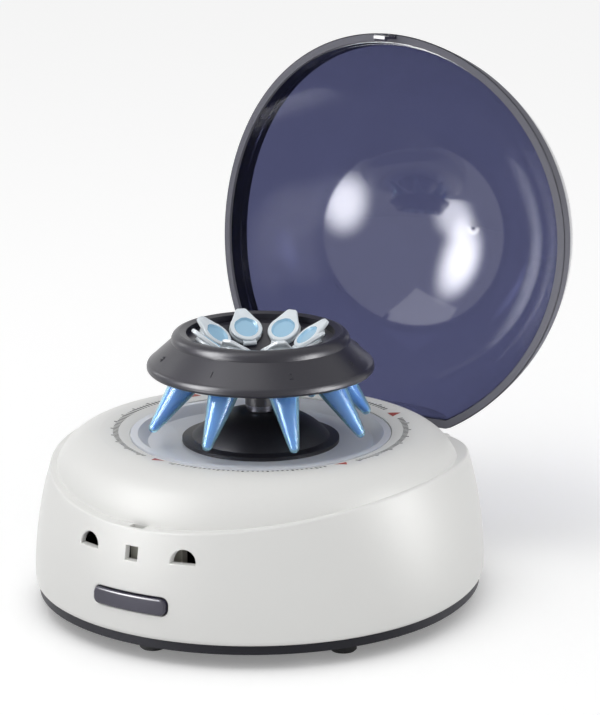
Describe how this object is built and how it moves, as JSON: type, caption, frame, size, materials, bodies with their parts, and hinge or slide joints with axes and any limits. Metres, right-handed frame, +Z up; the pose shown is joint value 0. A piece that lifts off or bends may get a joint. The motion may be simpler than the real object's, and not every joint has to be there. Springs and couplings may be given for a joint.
{
  "type": "microcentrifuge",
  "caption": "Palm-sized bench microcentrifuge with a hinged smoke-clear dome lid, a push latch button and a fixed-angle rotor holding capped tubes.",
  "frame": {"origin": "where the rotor's axis meets the table that the rubber feet stand on", "axes": "+Z up along the rotor's axis, -Y to the front with the latch button, +X to the right seen from the front"},
  "size_m": [0.1552, 0.2361, 0.1891],
  "materials": {
    "white_casing": "fine satin moulding",
    "black_casing": "matt black moulding",
    "bowl_grey": "smooth pale blue-grey moulding",
    "rotor_black": "matt charcoal moulding",
    "smoke_clear": "polished smoke-blue see-through moulding",
    "dark_seal": "smooth black elastomer",
    "dark_moulding": "satin smoke-dark moulding",
    "natural_moulding": "plain natural acetal",
    "tube_blue": "clear polypropylene with a blue tint",
    "cap_clear": "cloudy clear polypropylene",
    "blue_liquid": "blue liquid",
    "steel": "turned and stamped steel",
    "screw_steel": "zinc-plated steel",
    "core_iron": "laminated iron with copper windings",
    "magnet_ferrite": "ground ferrite",
    "bronze": "sintered bronze and brass",
    "rubber": "moulded rubber",
    "board_green": "glass-fibre laminate with green mask",
    "component_black": "moulded component bodies",
    "connector_cream": "nylon plug blocks",
    "lead_insulation": "PVC insulation",
    "collar_alloy": "turned aluminium"
  },
  "bodies": {
    "base": {"lower_housing": "white_casing", "base_plate": "black_casing", "rubber_feet": "rubber", "base_screws": "screw_steel", "top_deck": "white_casing", "deck_screws": "screw_steel", "rotor_bowl": "bowl_grey", "motor_cowl": "black_casing", "motor_can": "steel", "motor_end_cap": "black_casing", "motor_terminals": "bronze", "motor_bushes": "bronze", "motor_magnets": "magnet_ferrite", "motor_bracket": "steel", "rubber_grommets": "rubber", "bracket_screws": "screw_steel", "motor_screws": "screw_steel", "control_board": "board_green", "board_components": "component_black", "board_connectors": "connector_cream", "board_screws": "screw_steel", "internal_leads": "lead_insulation", "power_socket": "black_casing", "socket_pin": "bronze", "lid_sensor": "component_black", "button_guide": "natural_moulding", "hinge_pin": "steel", "lid_bumpers": "rubber"},
    "release": {"release_button": "dark_moulding", "latch_slide": "natural_moulding", "button_spring": "steel"},
    "lid": {"lid_shell": "smoke_clear", "lid_seal": "dark_seal", "lid_hook": "dark_moulding", "lid_magnet": "steel"},
    "rotor": {"motor_shaft": "steel", "motor_armature": "core_iron", "drive_collar": "collar_alloy", "rotor_body": "rotor_black", "tube_liquids": "blue_liquid", "tube_1": "tube_blue", "tube_2": "tube_blue", "tube_3": "tube_blue", "tube_4": "tube_blue", "tube_5": "tube_blue", "tube_6": "tube_blue", "tube_7": "tube_blue", "tube_8": "tube_blue", "tube_cap_1": "cap_clear", "tube_cap_2": "cap_clear", "tube_cap_3": "cap_clear", "tube_cap_4": "cap_clear", "tube_cap_5": "cap_clear", "tube_cap_6": "cap_clear", "tube_cap_7": "cap_clear", "tube_cap_8": "cap_clear"}
  },
  "joints": [
    {"name": "lid_hinge", "type": "hinge", "parent": "base", "child": "lid", "pos_m": [0, 0.0684, 0.0446], "axis": [1, 0, 0], "range_deg": [0, 97.3]},
    {"name": "rotor_spin", "type": "hinge", "parent": "base", "child": "rotor", "pos_m": [0, 0, 0.08], "axis": [0, 0, 1], "continuous": true},
    {"name": "button_press", "type": "slide", "parent": "base", "child": "release", "axis": [0, 1, 0], "range_m": [0, 0.0025], "stiffness_N_per_m": 300, "springref_m": -0.002}
  ]
}
